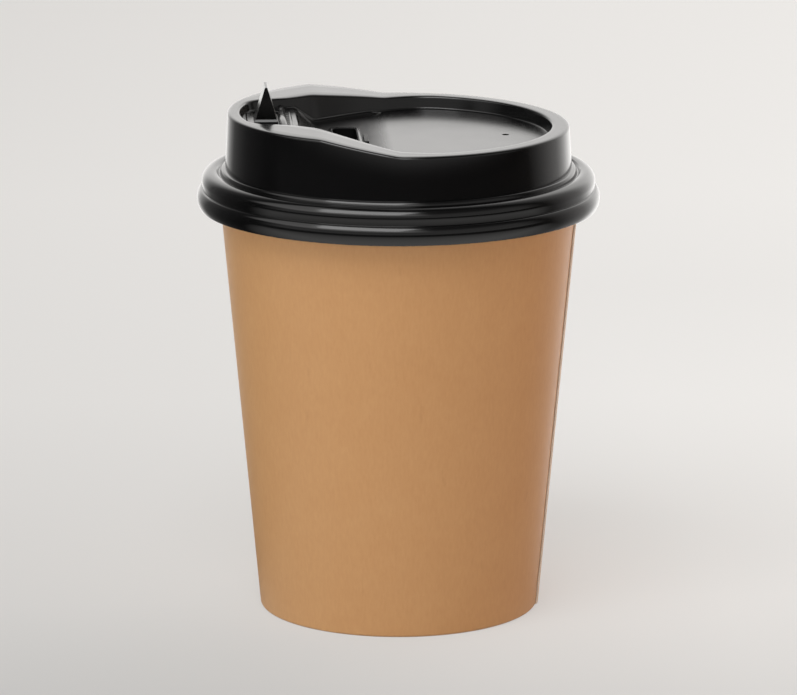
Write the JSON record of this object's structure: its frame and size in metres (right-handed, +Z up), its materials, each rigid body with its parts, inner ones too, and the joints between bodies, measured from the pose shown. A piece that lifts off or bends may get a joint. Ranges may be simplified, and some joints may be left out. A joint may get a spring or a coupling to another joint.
{
  "type": "lidded paper coffee cup",
  "caption": "Tapered single-wall kraft paper coffee cup with a rolled rim and a black lid pressed over it, with a lift-back sip tab and a socket for its fin.",
  "frame": {"origin": "centre of the cup's foot, on the surface it stands on", "axes": "+Z up along the cup's axis; the sip end of the lid points to -X; the lid is symmetric about the XZ plane apart from its vent"},
  "size_m": [0.084, 0.084, 0.1112],
  "materials": {
    "kraft_wall": "uncoated kraft paper with fine fibres",
    "kraft_bottom": "kraft board, film coated inside",
    "lid_black": "satin gloss of formed sheet",
    "tab_black": "satin gloss of formed sheet"
  },
  "bodies": {
    "cup": {"side_wall": "kraft_wall", "bottom_disc": "kraft_bottom"},
    "lid": {"lid": "lid_black"},
    "tab": {"lift_tab": "tab_black"}
  },
  "joints": [
    {"name": "lid_lift", "type": "slide", "parent": "cup", "child": "lid", "axis": [0, 0, 1], "range_m": [0, 0.03]},
    {"name": "tab_fold", "type": "hinge", "parent": "lid", "child": "tab", "pos_m": [-0.0212, 0, 0.10337], "axis": [0, 1, 0], "range_deg": [0, 152]}
  ]
}
